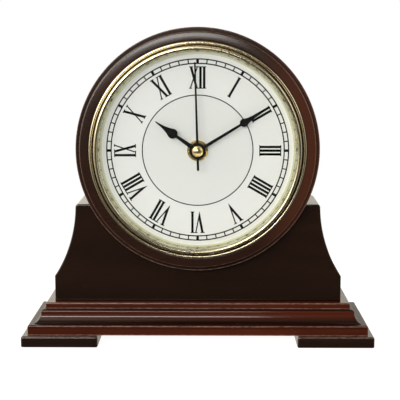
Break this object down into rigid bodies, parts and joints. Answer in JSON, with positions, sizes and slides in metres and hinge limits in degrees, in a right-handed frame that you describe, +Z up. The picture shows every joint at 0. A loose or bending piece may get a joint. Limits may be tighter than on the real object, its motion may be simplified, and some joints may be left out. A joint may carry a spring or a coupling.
{
  "type": "mantel clock",
  "caption": "Wooden mantel clock: a round drum with a brass-rimmed Roman dial stands in a flared body on a moulded plinth with block feet.",
  "frame": {"origin": "on the table, under the middle of the plinth", "axes": "+Z up; the dial faces -Y; +X is to the right of someone who reads the dial"},
  "size_m": [0.254, 0.083, 0.2283],
  "materials": {
    "mahogany_feet": "dark red-brown lacquered wood, satin gloss, fine grain",
    "mahogany_plinth": "dark red-brown lacquered wood, satin gloss, worn lighter edges",
    "mahogany_body": "very dark brown lacquered wood, gloss",
    "mahogany_drum": "dark brown lacquered wood, bent with the grain",
    "mahogany_ring": "dark brown lacquered turned wood, gloss",
    "back_board_lacquer": "dark stained board, matt",
    "brass_screws": "brass-plated screw, dull",
    "screw_steel": "zinc-plated screw",
    "felt": "dark green felt pad",
    "bezel_brass": "polished pale brass with fine turning marks",
    "hub_brass": "polished brass",
    "clear_glass": "clear domed glass",
    "dial_enamel": "off-white enamelled dial, satin, black print",
    "black_hands": "gloss black lacquer",
    "black_rubber": "black rubber, matt",
    "black_plastic": "black moulded plastic, fine texture",
    "movement_plastic": "dark grey moulded plastic",
    "knob_plastic": "red moulded plastic",
    "wheel_plastic": "natural acetal plastic",
    "magnet": "sintered magnet, dull grey",
    "contact_steel": "nickel-plated sheet",
    "copper_wire": "enamelled copper wire",
    "board_laminate": "green printed circuit laminate",
    "battery_wrap": "printed-free plastic sleeve with a band"
  },
  "bodies": {
    "case": {"left_foot": "mahogany_feet", "right_foot": "mahogany_feet", "felt_pads": "felt", "foot_screws": "screw_steel", "base_board": "mahogany_plinth", "moulded_board": "mahogany_plinth", "plinth_top": "mahogany_plinth", "body_screws": "screw_steel", "front_panel": "mahogany_body", "left_cheek": "mahogany_body", "right_cheek": "mahogany_body", "back_panel": "mahogany_body", "drum_shell": "mahogany_drum", "drum_front_ring": "mahogany_ring", "back_board": "back_board_lacquer", "back_board_screws": "brass_screws", "bezel": "bezel_brass", "glass": "clear_glass", "glass_gasket": "black_rubber", "sight_ring": "bezel_brass", "dial": "dial_enamel", "insert_cup": "black_plastic", "cup_screws": "screw_steel", "rubber_washer": "black_rubber", "brass_washer": "hub_brass", "hand_nut": "hub_brass", "movement_front_case": "movement_plastic", "threaded_bushing": "hub_brass", "movement_rear_case": "movement_plastic", "train_plate": "wheel_plastic", "stator": "contact_steel", "coil_core": "contact_steel", "coil_bobbin": "knob_plastic", "coil_winding": "copper_wire", "circuit_board": "board_laminate", "quartz_crystal": "contact_steel", "chip": "black_plastic", "positive_contact": "contact_steel", "negative_contact": "contact_steel"},
    "second_hand": {"second_hand": "black_hands", "second_hand_cap": "hub_brass", "second_wheel": "wheel_plastic"},
    "rotor": {"rotor_magnet": "magnet", "rotor_pinion": "wheel_plastic"},
    "intermediate_wheel": {"intermediate_wheel": "wheel_plastic"},
    "third_wheel": {"third_wheel": "wheel_plastic"},
    "minute_drive_wheel": {"minute_drive_wheel": "wheel_plastic"},
    "minute_hand": {"minute_hand": "black_hands", "minute_pipe": "wheel_plastic"},
    "hour_hand": {"hour_hand": "black_hands", "hour_wheel": "wheel_plastic"},
    "reverser_wheel": {"reverser_wheel": "wheel_plastic"},
    "setting_knob": {"setting_knob": "knob_plastic", "setting_gear": "wheel_plastic"},
    "battery": {"battery": "battery_wrap"}
  },
  "joints": [
    {"name": "second_spin", "type": "hinge", "parent": "case", "child": "second_hand", "pos_m": [0, 0, 0.14095], "axis": [0, 1, 0], "continuous": true},
    {"name": "rotor_spin", "type": "hinge", "parent": "case", "child": "rotor", "pos_m": [0.00542, 0, 0.15608], "axis": [0, 1, 0], "continuous": true},
    {"name": "intermediate_spin", "type": "hinge", "parent": "case", "child": "intermediate_wheel", "pos_m": [0.00146, 0, 0.14922], "axis": [0, 1, 0], "continuous": true},
    {"name": "third_spin", "type": "hinge", "parent": "case", "child": "third_wheel", "pos_m": [-0.00935, 0, 0.14635], "axis": [0, 1, 0], "continuous": true},
    {"name": "minute_drive_spin", "type": "hinge", "parent": "case", "child": "minute_drive_wheel", "pos_m": [0, 0, 0.14095], "axis": [0, 1, 0], "continuous": true},
    {"name": "minute_spin", "type": "hinge", "parent": "case", "child": "minute_hand", "pos_m": [0, 0, 0.14095], "axis": [0, 1, 0], "continuous": true},
    {"name": "hour_spin", "type": "hinge", "parent": "case", "child": "hour_hand", "pos_m": [0, 0, 0.14095], "axis": [0, 1, 0], "continuous": true},
    {"name": "reverser_spin", "type": "hinge", "parent": "case", "child": "reverser_wheel", "pos_m": [0.00831, 0, 0.14575], "axis": [0, 1, 0], "continuous": true},
    {"name": "setting_knob_spin", "type": "hinge", "parent": "case", "child": "setting_knob", "pos_m": [0.01567, 0, 0.13958], "axis": [0, 1, 0], "continuous": true},
    {"name": "battery_lift_out", "type": "slide", "parent": "case", "child": "battery", "axis": [0, 1, 0], "range_m": [0, 0.07]}
  ],
  "couplings": [
    {"joint": "intermediate_spin", "follows": "second_spin", "ratio": -6},
    {"joint": "rotor_spin", "follows": "second_spin", "ratio": 30},
    {"joint": "third_spin", "follows": "second_spin", "ratio": -0.125},
    {"joint": "minute_drive_spin", "follows": "second_spin", "ratio": 0.016667},
    {"joint": "reverser_spin", "follows": "minute_spin", "ratio": -0.33333},
    {"joint": "hour_spin", "follows": "minute_spin", "ratio": 0.083333},
    {"joint": "setting_knob_spin", "follows": "minute_spin", "ratio": 1}
  ]
}
